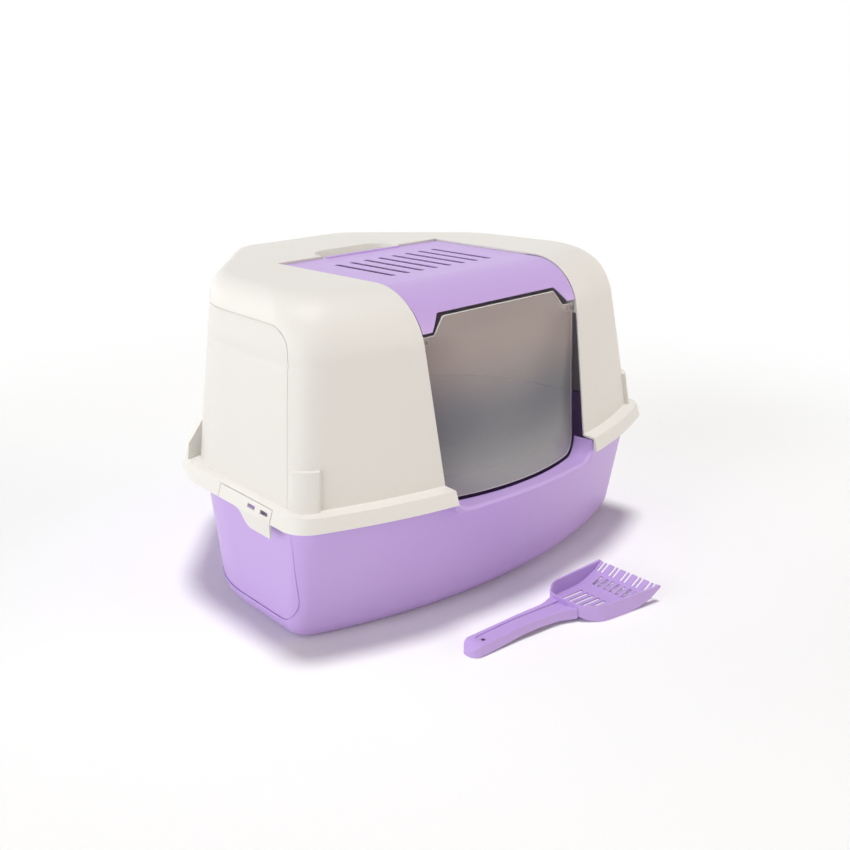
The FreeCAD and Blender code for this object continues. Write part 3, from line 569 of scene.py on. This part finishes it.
def white_floor(studio):
    """Pale floor that keeps the shadow near the object and runs out to white."""
    material = bpy.data.materials.new("white_floor")
    tree, output = nodes_of(material)
    make = tree.nodes.new
    link = tree.links.new
    pale = fill(
        make(PRINCIPLED),
        Base_Color=opaque(studio.floor_colour),
        Roughness=studio.floor_roughness,
        Specular_IOR_Level=0.0,
    )
    white = make("ShaderNodeEmission")
    place = make(TEX_COORD)
    far = make("ShaderNodeVectorMath")
    far.operation = "LENGTH"
    link(place.outputs["Object"], far.inputs[0])
    fade = fill(make(MAP_RANGE), From_Min=studio.fade_start, From_Max=studio.fade_end)
    fade.interpolation_type = "SMOOTHSTEP"
    link(far.outputs["Value"], fade.inputs["Value"])
    share = math_node(tree, "MULTIPLY")
    link(fade.outputs["Result"], share.inputs[0])
    link(seen_rays(tree), share.inputs[1])
    mix = make("ShaderNodeMixShader")
    link(share.outputs[0], mix.inputs["Fac"])
    link(pale.outputs["BSDF"], mix.inputs[1])
    link(white.outputs["Emission"], mix.inputs[2])
    link(mix.outputs["Shader"], output.inputs["Surface"])
    return material


def look_along(holder, line):
    """Turn a lamp or a camera so that it looks along a line."""
    holder.rotation_mode = "QUATERNION"
    holder.rotation_quaternion = line.to_track_quat("-Z", "Y")


def soft_sun(name, strength, line, spread, tint):
    """Wide soft light that shines along a line."""
    lamp = bpy.data.lights.new(name, "SUN")
    lamp.color = tint
    lamp.energy = strength
    lamp.angle = spread
    holder = bpy.data.objects.new(name, lamp)
    look_along(holder, Vector(line))
    bpy.context.scene.collection.objects.link(holder)


class LITTERBOX_OT_stage(bpy.types.Operator):
    """Set the floor, the light and the camera."""

    bl_idname = "litterbox.stage"
    bl_label = "Stage"

    def execute(self, context):
        studio = context.scene.litter_box_studio
        bpy.ops.object.select_all(action="DESELECT")
        bpy.ops.mesh.primitive_plane_add(size=studio.floor_size)
        floor = context.active_object
        floor.name = "floor"
        floor.data.materials.append(white_floor(studio))
        self.light(context, studio)
        self.camera(context, studio)
        return {"FINISHED"}

    def light(self, context, studio):
        """Even sky with a white backdrop, and four soft lights: left, top, a warm front and rear."""
        world = bpy.data.worlds.new("studio")
        context.scene.world = world
        world.use_nodes = True
        tree = world.node_tree
        sky = fill(node_of(tree, "BACKGROUND"), Color=opaque(WHITE))
        strength = fill(tree.nodes.new(MAP_RANGE), To_Min=studio.sky, To_Max=1.0)
        tree.links.new(seen_rays(tree), strength.inputs["Value"])
        tree.links.new(strength.outputs["Result"], sky.inputs["Strength"])
        soft_sun("key_light", studio.key, studio.key_direction, studio.key_spread, WHITE)
        soft_sun("top_light", studio.top, studio.top_direction, studio.top_spread, WHITE)
        warm = studio.front_tint
        soft_sun("front_light", studio.front, studio.front_direction, studio.front_spread, warm)
        soft_sun("rear_light", studio.rear, studio.rear_direction, studio.rear_spread, WHITE)

    def camera(self, context, studio):
        """Camera at the angle of the photograph."""
        lens = bpy.data.cameras.new("camera")
        lens.lens = studio.lens
        holder = bpy.data.objects.new("camera", lens)
        context.scene.collection.objects.link(holder)
        turn = studio.azimuth
        rise = studio.elevation
        level = math.cos(rise)
        back = Vector((math.sin(turn) * level, -math.cos(turn) * level, math.sin(rise)))
        holder.location = Vector(studio.target) + back * studio.distance
        look_along(holder, -back)
        context.scene.camera = holder
        context.scene.view_settings.view_transform = "Standard"


class LITTERBOX_PT_builder(bpy.types.Panel):
    """Sidebar list of the pieces and their settings."""

    bl_idname = "LITTERBOX_PT_builder"
    bl_label = "Litter box"
    bl_space_type = "VIEW_3D"
    bl_region_type = "UI"
    bl_category = "Litter box"

    def draw(self, context):
        for operator in OPERATORS:
            self.layout.operator(operator.bl_idname)
        for name, group in GROUPS.items():
            box = self.layout.box()
            for label in group.__annotations__:
                box.prop(getattr(context.scene, name), label)


OPERATORS = (
    LITTERBOX_OT_tray,
    LITTERBOX_OT_hood,
    LITTERBOX_OT_roof,
    LITTERBOX_OT_flap,
    LITTERBOX_OT_scoop,
    LITTERBOX_OT_stage,
)
GROUPS = {
    "litter_box_moulding": MouldingSettings,
    "litter_box_flap": FlapSettings,
    "litter_box_pad": PadSettings,
    "litter_box_studio": StudioSettings,
}
CLASSES = (*GROUPS.values(), *OPERATORS, LITTERBOX_PT_builder)


def register():
    """Add the classes and their settings."""
    for entry in CLASSES:
        bpy.utils.register_class(entry)
    for name, group in GROUPS.items():
        setattr(bpy.types.Scene, name, PointerProperty(type=group))


def unregister():
    """Take the classes and their settings away."""
    for name in GROUPS:
        delattr(bpy.types.Scene, name)
    for entry in reversed(CLASSES):
        bpy.utils.unregister_class(entry)


def main():
    """Build every piece."""
    register()
    for name in ("tray", "hood", "roof", "flap", "scoop", "stage"):
        getattr(bpy.ops.litterbox, name)()


if __name__ == "__main__":
    main()
